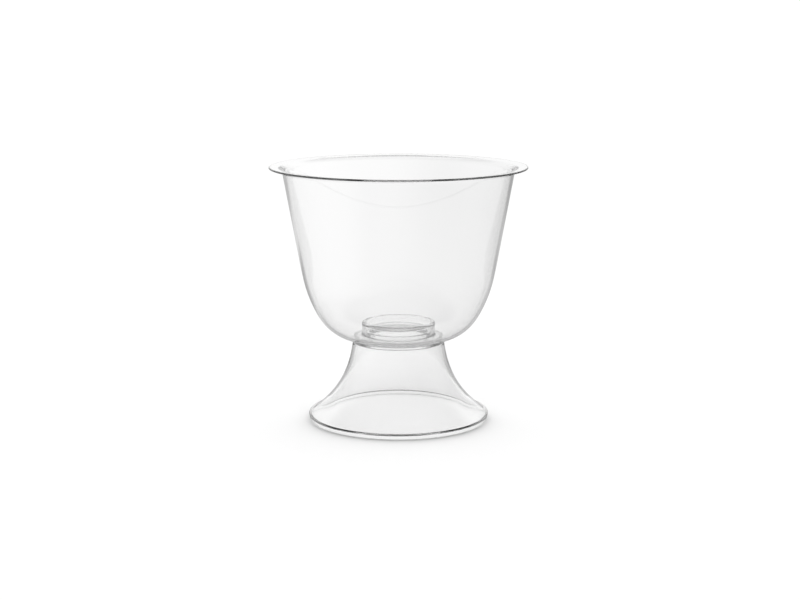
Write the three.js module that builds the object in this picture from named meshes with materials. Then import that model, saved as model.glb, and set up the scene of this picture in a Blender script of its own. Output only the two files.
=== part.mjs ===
import * as THREE from 'three';

// ---------------------------------------------------------------- driving dimensions, mm
const SEGMENTS = 48; // facets round the axis
// bowl
const HEIGHT = 99.58; // top of the lip above the floor
const RIM_R = 50; // outer radius of the out-turned lip
const LIP_T = 0.7; // lip thickness
const LIP_TILT = 5; // rise of the lip towards its edge, degrees
const LIP_ROUND = 2.6; // bend from the inner wall into the lip
const LIP_FILLET = 1.8; // bend under the lip
const BOWL_WALL = 1.1;
const BOWL_TAPER = 0.182; // growth of the radius with height in the straight wall
const BOWL_SEAT_Z = 31.9; // underside of the bowl, where it stands on the pedestal
// socket in the bowl's floor
const SOCKET_R = 14.35; // outside
const SOCKET_BORE_R = 13.0;
const SOCKET_TOP_Z = 38.55;
const SOCKET_CEILING_Z = 37.3;
const SOCKET_FILLET = 0.9; // outer top edge
const SOCKET_ROOT = 0.5; // fillet to the floor
const BORE_EDGE = 0.25;
const BORE_FILLET = 0.4;
// pedestal
const SHOULDER_Z = 31.6;
const SHOULDER_EDGE = 0.4;
const PLUG_R = 12.75;
const PLUG_TOP_Z = 34.6; // the plug is an open tube
const PLUG_EDGE = 0.3;
const PLUG_WALL = 1.4;
const PED_WALL = 1.4; // wall of the trumpet
const NECK_WALL = 1.25; // wall under the shoulder
const NECK_Z = 17; // the wall thins from here up to the shoulder
const CEILING_Z = 30.4; // hollow's ceiling under the shoulder
const CEILING_FILLET = 0.4;
// foot: the trumpet ends in a lip that turns down into a short skirt
const FOOT_R = 35.4; // widest, at the bend
const FOOT_LIP_T = 1.1;
const FOOT_LIP_LOW = 1.22; // underside of the lip
const FOOT_BEND = 0.42; // outer rounding of the bend
const FOOT_BLEND_Z = 2.7; // the trumpet's line runs out here
const FOOT_THIN_Z = 9; // the wall thins from here down to the lip
const SKIRT_LEAN = 12; // degrees
const RING_R = 35.05; // flat ring that stands on the floor
const RING_IN = 34.4;
const RING_EDGE = 0.05;

// Outer line of the bowl below its straight wall, as radius and height
const BOWL_CURVE = [
  [38.383, 61.83], [37.788, 58.805], [37.108, 55.588], [36.338, 52.604], [35.388, 49.671], [34.184, 46.612],
  [32.881, 43.819], [31.387, 41.123], [29.505, 38.43], [27.387, 36.195], [24.918, 34.356], [21.963, 32.925],
  [18.988, BOWL_SEAT_Z + 0.21], [16.6, BOWL_SEAT_Z], [15.3, BOWL_SEAT_Z],
];
// Radius of the trumpet at height z, a quartic in z / 10
const TRUMPET = [0.06456, -0.80549, 4.8777, -15.72142, 37.8123];

// ---------------------------------------------------------------- profile helpers
const vec = (r, z) => new THREE.Vector2(r, z);
const rad = THREE.MathUtils.degToRad;
const ease = THREE.MathUtils.smoothstep;

// points about every step mm along a smooth line through the given ones
function smooth(points, step) {
  const curve = new THREE.SplineCurve(points);
  return curve.getSpacedPoints(Math.max(1, Math.round(curve.getLength() / step)));
}

// arc about (r, z) from angle a to angle b, in degrees from the outward direction
function arc(r, z, radius, a, b, n) {
  const out = [];
  for (let i = 0; i <= n; i++) {
    const t = rad(a + ((b - a) * i) / n);
    out.push(vec(r + radius * Math.cos(t), z + radius * Math.sin(t)));
  }
  return out;
}

// the line moved to the inside of the body by wall(point)
function inset(line, wall) {
  return line.map((p, i) => {
    const d = line[Math.min(line.length - 1, i + 1)].clone().sub(line[Math.max(0, i - 1)]).normalize();
    return vec(p.x + d.y * wall(p), p.y - d.x * wall(p));
  });
}

// lines joined end to end, without repeated points
function chain(...lines) {
  const out = [];
  for (const p of lines.flat()) {
    if (!out.length || out[out.length - 1].distanceTo(p) > 0.02) out.push(p);
  }
  return out;
}

function turned(name, profile, colour) {
  const shape = new THREE.LatheGeometry(profile.slice().reverse(), SEGMENTS);
  shape.rotateX(Math.PI / 2); // the axis of turning becomes Z
  const material = new THREE.MeshStandardMaterial({
    color: colour, roughness: 0.05, metalness: 0, transparent: true, opacity: 0.3,
  });
  material.name = name;
  const mesh = new THREE.Mesh(shape, material);
  mesh.name = name;
  return mesh;
}

// ---------------------------------------------------------------- bowl
const lean = Math.atan(BOWL_TAPER);
const outerAt = (z) => BOWL_CURVE[0][0] + (z - BOWL_CURVE[0][1]) * BOWL_TAPER;
const innerAt = (z) => outerAt(z) - BOWL_WALL / Math.cos(lean);

// arc that leads from the leaning wall out into the lip, whose face runs up to edgeZ at its edge
function lipBend(wallAt, edgeZ, radius) {
  let z = edgeZ;
  for (let i = 0; i < 40; i++) z = edgeZ - (RIM_R - LIP_T / 2 - wallAt(z)) * Math.tan(rad(LIP_TILT));
  const reach = radius * Math.tan((Math.PI / 2 - lean - rad(LIP_TILT)) / 2);
  const r = wallAt(z) - reach * Math.sin(lean) + radius * Math.cos(lean);
  const h = z - reach * Math.cos(lean) - radius * Math.sin(lean);
  return arc(r, h, radius, 180 - THREE.MathUtils.radToDeg(lean), 90 + LIP_TILT, 4);
}

const bowlOut = smooth(BOWL_CURVE.map(([r, z]) => vec(r, z)), 2.6);
const bowlIn = inset(bowlOut, () => BOWL_WALL).filter((p) => p.x > SOCKET_R + SOCKET_ROOT + 0.3);
const floorZ = BOWL_SEAT_Z + BOWL_WALL;
const edgeR = RIM_R - LIP_T / 2;
const lipTop = lipBend(innerAt, HEIGHT, LIP_ROUND);
const lipLow = lipBend(outerAt, HEIGHT - LIP_T, LIP_FILLET);

const bowlProfile = chain(
  [vec(0, SOCKET_TOP_Z)],
  arc(SOCKET_R - SOCKET_FILLET, SOCKET_TOP_Z - SOCKET_FILLET, SOCKET_FILLET, 90, 0, 3),
  arc(SOCKET_R + SOCKET_ROOT, floorZ + SOCKET_ROOT, SOCKET_ROOT, 180, 270, 2),
  bowlIn.slice().reverse(),
  lipTop,
  [vec(edgeR, HEIGHT)],
  arc(edgeR, HEIGHT - LIP_T / 2, LIP_T / 2, 60, -60, 4),
  [vec(edgeR, HEIGHT - LIP_T)],
  lipLow.slice().reverse(),
  bowlOut,
  [vec(SOCKET_BORE_R + BORE_EDGE, BOWL_SEAT_Z)],
  [vec(SOCKET_BORE_R, BOWL_SEAT_Z + BORE_EDGE)],
  arc(SOCKET_BORE_R - BORE_FILLET, SOCKET_CEILING_Z - BORE_FILLET, BORE_FILLET, 0, 90, 2),
  [vec(0, SOCKET_CEILING_Z)],
);

// ---------------------------------------------------------------- pedestal
const trumpetAt = (z) => TRUMPET.reduce((r, c) => (r * z) / 10 + c, 0);

// wall at a point of the outer line: thin at the lip and at the neck
function wall({ y }) {
  const thick = FOOT_LIP_T + (PED_WALL - FOOT_LIP_T) * ease(y, toeZ, FOOT_THIN_Z);
  return thick + (NECK_WALL - PED_WALL) * ease(y, NECK_Z, SHOULDER_Z - 2);
}

const toeR = FOOT_R - FOOT_BEND;
const toeZ = FOOT_LIP_LOW + FOOT_LIP_T;
const topZ = SHOULDER_Z - SHOULDER_EDGE;
const topR = trumpetAt(topZ);
const trumpet = [];
for (let i = 0; i <= 20; i++) {
  const z = THREE.MathUtils.lerp(topZ, FOOT_BLEND_Z, (i / 20) ** 0.72);
  trumpet.push(vec(trumpetAt(z), z));
}
const end = trumpet[trumpet.length - 1];
const blend = [
  vec((end.x + toeR) / 2, toeZ + (end.y - toeZ) * 0.36),
  vec(toeR, toeZ),
];
const shell = [...trumpet, ...blend];
const shellIn = inset(shell, wall);

// height of the shell's inner face at radius r
function underAt(r) {
  const i = shellIn.findIndex((p) => p.x > r);
  const [a, b] = i < 0 ? shellIn.slice(-2) : [shellIn[i - 1], shellIn[i]];
  return a.y + ((b.y - a.y) * (r - a.x)) / (b.x - a.x);
}

const trumpetIn = shellIn.filter((p) => p.y < CEILING_Z - CEILING_FILLET - 0.2 && p.x < RING_IN - 0.1);
const ceilingR = trumpetIn[0].x;
const plugIn = PLUG_R - PLUG_WALL;
const pedestalLoop = chain(
  [vec(plugIn + PLUG_EDGE, PLUG_TOP_Z)],
  arc(PLUG_R - PLUG_EDGE, PLUG_TOP_Z - PLUG_EDGE, PLUG_EDGE, 90, 0, 2),
  [vec(PLUG_R, SHOULDER_Z)],
  arc(topR - SHOULDER_EDGE, topZ, SHOULDER_EDGE, 90, 0, 2),
  shell,
  arc(toeR, toeZ - FOOT_BEND, FOOT_BEND, 90, 0, 3),
  arc(toeR, toeZ - FOOT_BEND, FOOT_BEND, 0, -SKIRT_LEAN, 1),
  [vec(RING_R, RING_EDGE), vec(RING_R - RING_EDGE, 0), vec(RING_IN + RING_EDGE, 0), vec(RING_IN, RING_EDGE)],
  [vec(RING_IN, underAt(RING_IN))],
  trumpetIn.slice().reverse(),
  arc(ceilingR - CEILING_FILLET, CEILING_Z - CEILING_FILLET, CEILING_FILLET, 0, 90, 2),
  [vec(plugIn, CEILING_Z), vec(plugIn, PLUG_TOP_Z - PLUG_EDGE)],
);
const pedestalProfile = [...pedestalLoop, pedestalLoop[0].clone()];

const goblet = new THREE.Group();
goblet.name = 'goblet';
goblet.add(turned('pedestal', pedestalProfile, 0xeef2f3));
goblet.add(turned('bowl', bowlProfile, 0xf2f5f6));

export default goblet;
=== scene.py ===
import math

import bpy
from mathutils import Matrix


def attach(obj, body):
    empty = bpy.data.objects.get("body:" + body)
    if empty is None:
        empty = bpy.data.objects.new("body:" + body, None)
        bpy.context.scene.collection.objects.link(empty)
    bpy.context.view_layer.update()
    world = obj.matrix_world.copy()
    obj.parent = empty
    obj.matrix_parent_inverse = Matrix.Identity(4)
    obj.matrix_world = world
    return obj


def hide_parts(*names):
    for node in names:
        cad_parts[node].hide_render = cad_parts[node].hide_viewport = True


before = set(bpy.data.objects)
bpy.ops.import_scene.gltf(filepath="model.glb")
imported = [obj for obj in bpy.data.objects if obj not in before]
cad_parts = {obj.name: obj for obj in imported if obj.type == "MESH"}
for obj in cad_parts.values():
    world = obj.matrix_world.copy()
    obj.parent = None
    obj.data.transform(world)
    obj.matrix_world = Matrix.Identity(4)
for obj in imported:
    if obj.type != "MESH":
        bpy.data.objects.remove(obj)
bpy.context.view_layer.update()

MM = 0.001

# ------------------------------------------------------------------ sizes, mm
SEGMENTS = 192  # round the axis

HEIGHT = 99.58
RIM_R = 50.0
LIP_T = 0.7
LIP_TILT = 5.0
LIP_ROUND = 2.6
LIP_FILLET = 1.8
BOWL_WALL = 1.1
BOWL_TAPER = 0.182
FLOOR_WALL = 1.1
BOWL_SEAT_Z = 31.9

SOCKET_R = 14.35
SOCKET_BORE_R = 13.0
SOCKET_TOP_Z = 38.55
SOCKET_CEILING_Z = 37.3
SOCKET_FILLET = 0.9
SOCKET_ROOT = 0.5

SHOULDER_Z = 31.6
SHOULDER_EDGE = 0.4
PLUG_R = 12.75
PLUG_TOP_Z = 34.6
PLUG_EDGE = 0.3
PLUG_WALL = 1.4
PED_WALL = 1.4
NECK_WALL = 1.25
NECK_Z = 17.0
CEILING_Z = 30.4
CEILING_FILLET = 0.4

FOOT_R = 35.4
FOOT_LIP_T = 1.1
FOOT_LIP_LOW = 1.22
FOOT_BEND = 0.42
FOOT_BLEND_Z = 2.7
FOOT_THIN_Z = 9.0
SKIRT_LEAN = 12.0
RING_R = 35.05
RING_IN = 34.4
RING_EDGE = 0.05

# outer line of the bowl from the straight wall down to the level seat
BOWL_CURVE = [
    (38.383, 61.83), (37.788, 58.805), (37.108, 55.588), (36.338, 52.604), (35.388, 49.671), (34.184, 46.612),
    (32.881, 43.819), (31.387, 41.123), (29.505, 38.43), (27.387, 36.195), (24.918, 34.356), (21.963, 32.925),
    (18.988, BOWL_SEAT_Z + 0.21), (16.6, BOWL_SEAT_Z), (15.3, BOWL_SEAT_Z),
]
# radius of the trumpet at height z is a quartic in z / 10
TRUMPET = (0.06456, -0.80549, 4.8777, -15.72142, 37.8123)


# ------------------------------------------------------------------ profile lines
def spline(points, step):
    """Points every step mm along a smooth line through the given ones."""
    fine = []
    last = len(points) - 1
    for i in range(last):
        p0 = points[max(0, i - 1)]
        p1, p2 = points[i], points[i + 1]
        p3 = points[min(last, i + 2)]
        for k in range(24):
            t = k / 24
            out = []
            for a, b, c, d in zip(p0, p1, p2, p3):
                v0, v1 = (c - a) * 0.5, (d - b) * 0.5
                out.append((2 * b - 2 * c + v0 + v1) * t ** 3 + (-3 * b + 3 * c - 2 * v0 - v1) * t * t + v0 * t + b)
            fine.append(tuple(out))
    fine.append(tuple(map(float, points[-1])))
    return even(fine, step)


def even(line, step):
    """The same line with points spread evenly along it."""
    run = [0.0]
    for a, b in zip(line, line[1:]):
        run.append(run[-1] + math.dist(a, b))
    n = max(1, round(run[-1] / step))
    out, j = [], 0
    for i in range(n + 1):
        s = run[-1] * i / n
        while j < len(line) - 2 and run[j + 1] < s:
            j += 1
        t = (s - run[j]) / max(run[j + 1] - run[j], 1e-9)
        out.append(tuple(p + (q - p) * t for p, q in zip(line[j], line[j + 1])))
    return out


def arc(r, z, radius, a, b, n):
    return [
        (r + radius * math.cos(math.radians(a + (b - a) * i / n)), z + radius * math.sin(math.radians(a + (b - a) * i / n)))
        for i in range(n + 1)
    ]


def inset(line, wall):
    """The line moved to the inside of the body by wall(share of the way along it)."""
    out = []
    for i, p in enumerate(line):
        a, b = line[max(0, i - 1)], line[min(len(line) - 1, i + 1)]
        dx, dz = b[0] - a[0], b[1] - a[1]
        n = math.hypot(dx, dz)
        t = wall(i / (len(line) - 1))
        out.append((p[0] + dz / n * t, p[1] - dx / n * t))
    return out


def straight(a, b, step=1.0, near=0.06):
    """Points from a to b, with one close to each end so that the shading turns only at the corner."""
    d = math.dist(a, b)
    n = max(1, round(d / step))
    shares = sorted({0.0, 1.0, *(i / n for i in range(n + 1)), *([near / d, 1 - near / d] if d > 4 * near else [])})
    return [(a[0] + (b[0] - a[0]) * t, a[1] + (b[1] - a[1]) * t) for t in shares]


def chain(*lines):
    out = []
    for line in lines:
        for p in line:
            if not out or math.dist(out[-1], p) > 0.008:
                out.append(p)
    return out


# ------------------------------------------------------------------ meshes
def turned(name, profile):
    """A closed body turned about Z, from a profile that starts and ends on the axis or goes round to its start."""
    verts, rings = [], []
    for r, z in profile:
        if r < 1e-6:
            rings.append([len(verts)])
            verts.append((0.0, 0.0, z * MM))
        else:
            rings.append(list(range(len(verts), len(verts) + SEGMENTS)))
            for k in range(SEGMENTS):
                a = 2 * math.pi * k / SEGMENTS
                verts.append((r * math.cos(a) * MM, r * math.sin(a) * MM, z * MM))
    if len(rings[0]) > 1:
        rings.append(rings[0])
    faces = []
    for lo, hi in zip(rings, rings[1:]):
        for k in range(SEGMENTS):
            m = (k + 1) % SEGMENTS
            if len(lo) == 1:
                faces.append((lo[0], hi[k], hi[m]))
            elif len(hi) == 1:
                faces.append((lo[m], lo[k], hi[0]))
            else:
                faces.append((lo[k], hi[k], hi[m], lo[m]))
    mesh = bpy.data.meshes.new(name)
    mesh.from_pydata(verts, [], faces)
    mesh.polygons.foreach_set("use_smooth", [True] * len(mesh.polygons))
    mesh.validate()
    mesh.update()
    obj = bpy.data.objects.new(name, mesh)
    bpy.context.scene.collection.objects.link(obj)
    return obj


# ------------------------------------------------------------------ bowl
lean = math.degrees(math.atan(BOWL_TAPER))
slant = math.sqrt(1 + BOWL_TAPER * BOWL_TAPER)


def outer_at(z):
    return BOWL_CURVE[0][0] + (z - BOWL_CURVE[0][1]) * BOWL_TAPER


def inner_at(z):
    return outer_at(z) - BOWL_WALL * slant


def lip_bend(wall_at, z_edge, radius):
    """Arc that leads from the leaning wall out into the lip, whose face runs up to z_edge at its edge."""
    rise = math.tan(math.radians(LIP_TILT))
    z = z_edge
    for _ in range(40):
        z = z_edge - (RIM_R - LIP_T / 2 - wall_at(z)) * rise
    reach = radius * math.tan(math.radians((90 - lean - LIP_TILT) / 2))
    r = wall_at(z) - reach * math.sin(math.radians(lean)) + radius * math.cos(math.radians(lean))
    z = z - reach * math.cos(math.radians(lean)) - radius * math.sin(math.radians(lean))
    return arc(r, z, radius, 180 - lean, 90 + LIP_TILT, 14)


floor_z = BOWL_SEAT_Z + FLOOR_WALL
bowl_out = spline(BOWL_CURVE, 0.5)
bowl_in = [
    p for p in inset(bowl_out, lambda t: BOWL_WALL + (FLOOR_WALL - BOWL_WALL) * t) if p[0] > SOCKET_R + SOCKET_ROOT + 0.3
]
edge_r, edge_z = RIM_R - LIP_T / 2, HEIGHT - LIP_T / 2
lip_top = lip_bend(inner_at, HEIGHT, LIP_ROUND)
lip_low = lip_bend(outer_at, HEIGHT - LIP_T, LIP_FILLET)
bowl_profile = chain(
    straight((0, SOCKET_TOP_Z), (SOCKET_R - SOCKET_FILLET, SOCKET_TOP_Z)),
    arc(SOCKET_R - SOCKET_FILLET, SOCKET_TOP_Z - SOCKET_FILLET, SOCKET_FILLET, 90, 0, 12),
    straight((SOCKET_R, SOCKET_TOP_Z - SOCKET_FILLET), (SOCKET_R, floor_z + SOCKET_ROOT)),
    arc(SOCKET_R + SOCKET_ROOT, floor_z + SOCKET_ROOT, SOCKET_ROOT, 180, 270, 10),
    bowl_in[::-1],
    straight(bowl_in[0], lip_top[0], 1.5),
    lip_top,
    straight(lip_top[-1], (edge_r, HEIGHT), 0.5),
    arc(edge_r, edge_z, LIP_T / 2, 90 + LIP_TILT, -90 + LIP_TILT, 16),
    straight((edge_r, HEIGHT - LIP_T), lip_low[-1], 0.5),
    lip_low[::-1],
    straight(lip_low[0], bowl_out[0], 1.5),
    bowl_out,
    straight((15.3, BOWL_SEAT_Z), (SOCKET_BORE_R + 0.25, BOWL_SEAT_Z)),
    arc(SOCKET_BORE_R + 0.25, BOWL_SEAT_Z + 0.25, 0.25, 270, 180, 5),
    straight((SOCKET_BORE_R, BOWL_SEAT_Z + 0.25), (SOCKET_BORE_R, SOCKET_CEILING_Z - 0.4)),
    arc(SOCKET_BORE_R - 0.4, SOCKET_CEILING_Z - 0.4, 0.4, 0, 90, 6),
    straight((SOCKET_BORE_R - 0.4, SOCKET_CEILING_Z), (0, SOCKET_CEILING_Z)),
)


# ------------------------------------------------------------------ pedestal
def trumpet_at(z):
    r = 0.0
    for c in TRUMPET:
        r = r * z / 10 + c
    return r


# the trumpet flares from the shoulder into a lip, which turns down into a short skirt that stands on the floor
z_top = SHOULDER_Z - SHOULDER_EDGE
trumpet_out = even(
    [(trumpet_at(z_top + (FOOT_BLEND_Z - z_top) * i / 200), z_top + (FOOT_BLEND_Z - z_top) * i / 200) for i in range(201)], 0.5
)
end = trumpet_out[-1]
toe_r, toe_z = FOOT_R - FOOT_BEND, FOOT_LIP_LOW + FOOT_LIP_T
blend = [
    p
    for p in spline(
        [trumpet_out[-4], end, ((end[0] + toe_r) / 2, toe_z + (end[1] - toe_z) * 0.36), (toe_r, toe_z), (toe_r + 0.3, toe_z - 0.03)],
        0.1,
    )
    if end[0] + 0.02 < p[0] < toe_r
]


def ease(v, lo, hi):
    t = max(0.0, min(1.0, (v - lo) / (hi - lo)))
    return t * t * (3 - 2 * t)


def ped_wall(z):
    """Wall of the pedestal at height z: thin at the lip and at the neck."""
    thick = FOOT_LIP_T + (PED_WALL - FOOT_LIP_T) * ease(z, toe_z, FOOT_THIN_Z)
    return thick + (NECK_WALL - PED_WALL) * ease(z, NECK_Z, SHOULDER_Z - 2)


shell = chain(trumpet_out, blend, [(toe_r, toe_z)])
shell_in = [q for p, q in zip(shell, inset(shell, lambda t: ped_wall(shell[round(t * (len(shell) - 1))][1])))]
trumpet_in = [p for p in shell_in if p[1] < CEILING_Z - CEILING_FILLET - 0.2 and p[0] < RING_IN - 0.02]


def shell_z(r):
    """Height of the inner face of the shell at radius r."""
    for p, q in zip(shell_in, shell_in[1:]):
        if p[0] <= r < q[0]:
            return p[1] + (q[1] - p[1]) * (r - p[0]) / (q[0] - p[0])


bend = arc(toe_r, toe_z - FOOT_BEND, FOOT_BEND, 90, -SKIRT_LEAN, 12)
plug_in = PLUG_R - PLUG_WALL
ceiling_r = trumpet_in[0][0]
pedestal_profile = chain(
    straight((plug_in + PLUG_EDGE, PLUG_TOP_Z), (PLUG_R - PLUG_EDGE, PLUG_TOP_Z), 0.4),
    arc(PLUG_R - PLUG_EDGE, PLUG_TOP_Z - PLUG_EDGE, PLUG_EDGE, 90, 0, 6),
    straight((PLUG_R, PLUG_TOP_Z - PLUG_EDGE), (PLUG_R, SHOULDER_Z)),
    straight((PLUG_R, SHOULDER_Z), (trumpet_at(z_top) - SHOULDER_EDGE, SHOULDER_Z)),
    arc(trumpet_at(z_top) - SHOULDER_EDGE, z_top, SHOULDER_EDGE, 90, 0, 12),
    trumpet_out,
    blend,
    bend,
    straight(bend[-1], (RING_R, RING_EDGE), 0.6),
    arc(RING_R - RING_EDGE, RING_EDGE, RING_EDGE, 0, -90, 6),
    straight((RING_R - RING_EDGE, 0), (RING_IN + RING_EDGE, 0)),
    arc(RING_IN + RING_EDGE, RING_EDGE, RING_EDGE, 270, 180, 6),
    straight((RING_IN, RING_EDGE), (RING_IN, shell_z(RING_IN)), 0.6),
    trumpet_in[::-1],
    arc(ceiling_r - CEILING_FILLET, CEILING_Z - CEILING_FILLET, CEILING_FILLET, 0, 90, 8),
    straight((ceiling_r - CEILING_FILLET, CEILING_Z), (plug_in, CEILING_Z)),
    straight((plug_in, CEILING_Z), (plug_in, PLUG_TOP_Z - PLUG_EDGE)),
    arc(plug_in + PLUG_EDGE, PLUG_TOP_Z - PLUG_EDGE, PLUG_EDGE, 180, 92, 6),
)


# ------------------------------------------------------------------ clear plastic
def clear_plastic(name, tint, density, seed):
    mat = bpy.data.materials.new(name)
    mat.use_nodes = True
    nt = mat.node_tree
    nt.nodes.clear()
    new, link = nt.nodes.new, nt.links.new
    out = new("ShaderNodeOutputMaterial")
    shade = new("ShaderNodeBsdfPrincipled")
    shade.inputs["Base Color"].default_value = (*tint, 1)
    shade.inputs["Transmission Weight"].default_value = 1.0
    shade.inputs["IOR"].default_value = 1.5
    link(shade.outputs[0], out.inputs["Surface"])
    soak = new("ShaderNodeVolumeAbsorption")
    soak.inputs["Color"].default_value = (0.0, 0.0, 0.0, 1)
    soak.inputs["Density"].default_value = density
    link(soak.outputs[0], out.inputs["Volume"])
    where = new("ShaderNodeTexCoord")
    # handling haze: patches a few millimetres wide that are a little less polished
    haze = new("ShaderNodeTexNoise")
    haze.noise_dimensions = "4D"
    haze.inputs["W"].default_value = seed
    haze.inputs["Scale"].default_value = 180.0
    haze.inputs["Detail"].default_value = 4.0
    link(where.outputs["Object"], haze.inputs["Vector"])
    polish = new("ShaderNodeMapRange")
    polish.inputs["From Min"].default_value = 0.45
    polish.inputs["From Max"].default_value = 0.8
    polish.inputs["To Min"].default_value = 0.004
    polish.inputs["To Max"].default_value = 0.03
    link(haze.outputs["Fac"], polish.inputs["Value"])
    link(polish.outputs["Result"], shade.inputs["Roughness"])
    # slow waviness of a moulded wall
    wave = new("ShaderNodeTexNoise")
    wave.noise_dimensions = "4D"
    wave.inputs["W"].default_value = seed + 3.0
    wave.inputs["Scale"].default_value = 55.0
    wave.inputs["Detail"].default_value = 1.0
    link(where.outputs["Object"], wave.inputs["Vector"])
    bump = new("ShaderNodeBump")
    bump.inputs["Strength"].default_value = 0.01
    bump.inputs["Distance"].default_value = 0.0004
    link(wave.outputs["Fac"], bump.inputs["Height"])
    link(bump.outputs["Normal"], shade.inputs["Normal"])
    return mat


DENSITY = 2.0
bowl = turned("bowl_clear", bowl_profile)
bowl.data.materials.append(clear_plastic("clear_bowl", (1.0, 1.0, 1.0), DENSITY, 1.0))
pedestal = turned("pedestal_clear", pedestal_profile)
pedestal.data.materials.append(clear_plastic("clear_pedestal", (1.0, 1.0, 1.0), DENSITY, 7.0))
for piece, node in ((bowl, "bowl"), (pedestal, "pedestal")):
    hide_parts(node)
    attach(piece, node)

# ------------------------------------------------------------------ floor and soft studio light
# A white floor under an even white sky, with painted light in the floor's colour. Seen through the plastic the sky
# is white near the horizon and dimmer overhead, and light that was mirrored inside the plastic meets a floor
# painted dimmer (a painted reflection).
WHITE = 1.14
PAPER = 0.9
LIGHT_SIDE = (-0.97, 0.24, 0.0)
# painted reflection: floor colour after a mirroring, darker away from the light's side (DIM_LO) than on it
# (DIM_HI), DIM_NEAR near the piece
DIM_LO, DIM_HI, DIM_NEAR = 0.54, 0.70, 0.52
DIM_FAR = 0.10  # how much darker the far floor is painted for mirrored rays
PAINTED_STRIP = 0.30  # a painted darker strip of the floor on the light's side, seen after a mirroring
PAINTED_FALLOFF = 0.10  # painted falloff: how much the white falls off to the right
OVERHEAD = 0.28
MIRRORED = 0.15  # share of the high sky that is left after a mirroring
THROUGH = 0.975  # white as seen through the plastic: the floor's colour is painted this much darker there, and the sky this much dimmer


class Light:
    """Small helper to wire up the shaders of the stage."""

    def __init__(self, tree):
        self.tree = tree
        tree.nodes.clear()

    def node(self, kind, **inputs):
        n = self.tree.nodes.new(kind)
        for key, v in inputs.items():
            self.put(n.inputs[key.replace("_", " ")], v)
        return n

    def put(self, socket, v):
        if isinstance(v, bpy.types.NodeSocket):
            self.tree.links.new(v, socket)
        else:
            socket.default_value = v

    def math(self, op, a, b):
        n = self.node("ShaderNodeMath")
        n.operation = op
        self.put(n.inputs[0], a)
        self.put(n.inputs[1], b)
        return n.outputs[0]

    def vec(self, op, a, b=None):
        n = self.node("ShaderNodeVectorMath")
        n.operation = op
        self.put(n.inputs[0], a)
        if b is not None:
            self.put(n.inputs[1], b)
        return n.outputs["Value" if op in ("DOT_PRODUCT", "LENGTH") else "Vector"]

    def ramp(self, v, lo, hi, to_lo=0.0, to_hi=1.0):
        n = self.node("ShaderNodeMapRange", Value=v, From_Min=lo, From_Max=hi, To_Min=to_lo, To_Max=to_hi)
        n.interpolation_type = "SMOOTHSTEP"
        return n.outputs["Result"]

    def mix(self, share, a, b):
        n = self.node("ShaderNodeMix")
        self.put(n.inputs["Factor"], share)
        self.put(n.inputs["A"], a)
        self.put(n.inputs["B"], b)
        return n.outputs["Result"]

    def met(self):
        """1 for a ray that met the plastic first, and 1 for one that was mirrored there."""
        path = self.node("ShaderNodeLightPath")
        plain = self.math("MAXIMUM", path.outputs["Is Camera Ray"], path.outputs["Diffuse Depth"])
        plastic = self.math("SUBTRACT", 1.0, self.math("MINIMUM", plain, 1.0))
        return plastic, self.math("MINIMUM", path.outputs["Glossy Depth"], 1.0)


mesh = bpy.data.meshes.new("floor")
S = 12.0
mesh.from_pydata([(-S, -S, -0.0001), (S, -S, -0.0001), (S, S, -0.0001), (-S, S, -0.0001)], [], [(0, 1, 2, 3)])
floor = bpy.data.objects.new("floor", mesh)
bpy.context.scene.collection.objects.link(floor)
paper = bpy.data.materials.new("floor_paper")
paper.use_nodes = True
light = Light(paper.node_tree)
face = light.node("ShaderNodeOutputMaterial")
matt = light.node("ShaderNodeBsdfDiffuse")
light.put(face.inputs["Surface"], matt.outputs[0])
where = light.node("ShaderNodeTexCoord").outputs["Object"]
level = light.vec("MULTIPLY", where, (1.0, 1.0, 0.0))
plastic, mirrored = light.met()
side = light.vec("DOT_PRODUCT", light.vec("NORMALIZE", level), LIGHT_SIDE)
# white is the floor seen through the plastic, with a painted falloff and painted shade; dim is the floor painted
# darker after a mirroring, a painted reflection
across = light.vec("DOT_PRODUCT", where, (1.0, 0.0, 0.0))
far_off = light.vec("LENGTH", level)
# painted falloff of light: the floor's colour seen through the plastic darkens to the right
painted_falloff = light.math("MULTIPLY", light.ramp(across, -0.02, 0.06, 0.0, PAINTED_FALLOFF), light.ramp(far_off, 0.6, 1.8, 1.0, 0.0))
painted_falloff = light.math("MULTIPLY", painted_falloff, light.ramp(light.vec("DOT_PRODUCT", where, (0.0, 1.0, 0.0)), -0.02, 0.06))
white = light.math("SUBTRACT", THROUGH, painted_falloff)
# painted shadow: the floor round and behind the foot, seen through the plastic, is coloured darker
painted_back_shade = light.math("MULTIPLY", light.ramp(far_off, 0.06, 0.14, 1.0, 0.0), light.ramp(far_off, 0.030, 0.037))
painted_back_shade = light.math("MULTIPLY", painted_back_shade, light.ramp(across, -0.005, 0.02, 0.035, 0.075))
white = light.math("MULTIPLY", white, light.math("SUBTRACT", 1.0, painted_back_shade))
aside = light.math("ABSOLUTE", light.vec("DOT_PRODUCT", light.vec("NORMALIZE", level), (1.0, 0.0, 0.0)), 0.0)
# painted shade: a darker strip of the floor's colour on the light's side
painted_strip = light.math("MULTIPLY", light.ramp(far_off, 0.12, 0.16), light.ramp(far_off, 0.27, 0.36, 1.0, 0.0))
painted_strip = light.math("MULTIPLY", painted_strip, light.ramp(aside, 0.45, 0.8, 1.0, 0.0))
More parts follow.
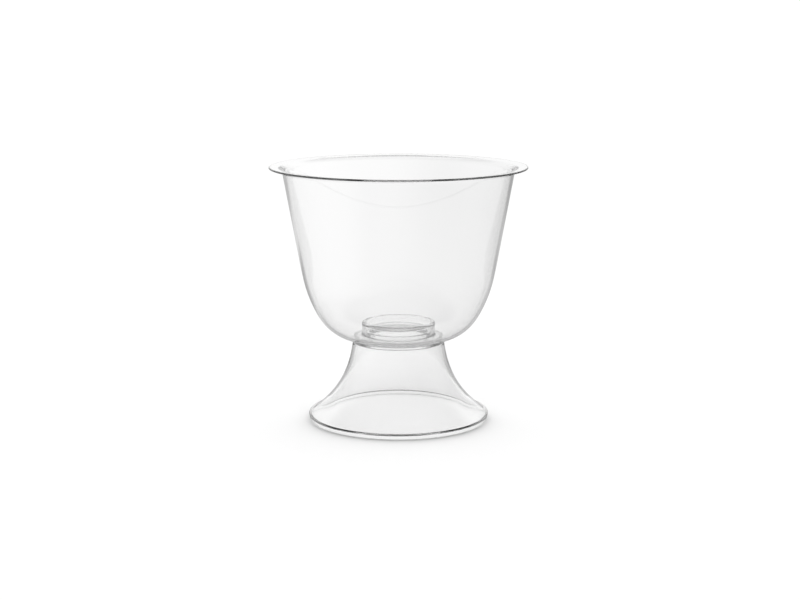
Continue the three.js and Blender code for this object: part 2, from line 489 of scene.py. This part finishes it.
# painted darker floor colour for mirrored rays, lighter on the light's side: painted reflection and painted shade
painted_dim = light.ramp(side, -0.6, 0.6, DIM_LO, light.math("SUBTRACT", DIM_HI, light.math("MULTIPLY", painted_strip, PAINTED_STRIP)))
painted_dim = light.mix(light.ramp(far_off, 0.09, 0.13), DIM_NEAR, painted_dim)
painted_dim = light.math("SUBTRACT", painted_dim, light.ramp(far_off, 0.20, 0.28, 0.0, light.ramp(side, -0.6, 0.6, DIM_FAR, 0.0)))
painted_dim = light.math("SUBTRACT", painted_dim, light.ramp(far_off, 0.40, 0.52, 0.0, light.ramp(side, -0.6, 0.6, DIM_FAR, 2.0 * DIM_FAR)))
painted_dim = light.math("ADD", painted_dim, light.ramp(far_off, 0.12, 0.2, 0.0, light.ramp(aside, 0.4, 0.8, 0.0, light.ramp(side, -0.6, 0.6, 0.09, 0.05))))
# painted light: the floor colour after a mirroring is lifted straight behind the piece
painted_bright_patch = light.ramp(light.vec("DOT_PRODUCT", where, (0.0, 1.0, 0.0)), 0.06, 0.1, 0.0, light.ramp(aside, 0.1, 0.25, 1.0, 0.0))
painted_dim = light.mix(painted_bright_patch, painted_dim, 0.88)
seen = light.mix(mirrored, white, painted_dim)
shade = light.mix(plastic, 1.0, seen)
# painted soft shadow on the floor round the foot, stronger on the −Y side
reach = light.math("SUBTRACT", light.vec("LENGTH", level), FOOT_R * MM)
out = light.math("MAXIMUM", reach, 0.0)
near = light.math("EXPONENT", light.math("DIVIDE", out, -0.0024), 0.0)
far = light.math("EXPONENT", light.math("DIVIDE", out, -0.020), 0.0)
front = light.ramp(light.vec("DOT_PRODUCT", light.vec("NORMALIZE", level), (0.0, -1.0, 0.0)), -0.3, 0.9, 0.1, 1.0)
painted_contact_shadow = light.math("ADD", light.math("MULTIPLY", near, 0.46), light.math("MULTIPLY", far, 0.09))
painted_contact_shadow = light.math("MULTIPLY", painted_contact_shadow, front)
painted_contact_shadow = light.mix(light.ramp(reach, (RING_IN - FOOT_R) * MM, -0.0003), 0.03, painted_contact_shadow)
lit = light.math("SUBTRACT", 1.0, painted_contact_shadow)
# the floor's colour: paper times the painted shade and the painted contact shadow
light.put(matt.inputs["Color"], light.math("MULTIPLY", light.math("MULTIPLY", shade, lit), PAPER))
floor.data.materials.append(paper)

world = bpy.data.worlds.new("studio")
bpy.context.scene.world = world
world.use_nodes = True
light = Light(world.node_tree)
out = light.node("ShaderNodeOutputWorld")
back = light.node("ShaderNodeBackground", Color=(1, 1, 1, 1))
light.put(out.inputs["Surface"], back.outputs[0])
way = light.node("ShaderNodeTexCoord").outputs["Generated"]
plastic, mirrored = light.met()
height = light.vec("DOT_PRODUCT", way, (0.0, 0.0, 1.0))
ahead = light.vec("DOT_PRODUCT", way, (0.0, 1.0, 0.0))
sky = light.ramp(height, 0.30, 0.92, THROUGH, light.ramp(ahead, 0.35, 0.65, OVERHEAD, THROUGH))
sky = light.math("MULTIPLY", sky, light.ramp(ahead, -1.0, 0.1, 0.6, 1.0))
sky = light.mix(mirrored, sky, light.math("MULTIPLY", sky, light.ramp(height, 0.5, 0.75, 1.0, MIRRORED)))
light.put(back.inputs["Strength"], light.mix(plastic, WHITE, light.math("MULTIPLY", sky, WHITE * PAPER)))
world.cycles.sampling_method = "NONE"

# ------------------------------------------------------------------ camera
cam_data = bpy.data.cameras.new("camera")
cam_data.sensor_width = 36.0
cam_data.lens = 71.522
cam = bpy.data.objects.new("camera", cam_data)
bpy.context.scene.collection.objects.link(cam)
cam.location = (0.00060, -0.61218, 0.16251)
cam.rotation_euler = (math.radians(90 - 10.6985), 0, 0)
bpy.context.scene.camera = cam

# ------------------------------------------------------------------ rendering
scene = bpy.context.scene
scene.view_settings.view_transform = "Standard"
scene.view_settings.look = "None"
scene.cycles.max_bounces = 24
scene.cycles.transmission_bounces = 24
scene.cycles.glossy_bounces = 24
scene.cycles.diffuse_bounces = 4
scene.cycles.use_denoising = True
scene.cycles.blur_glossy = 0.0
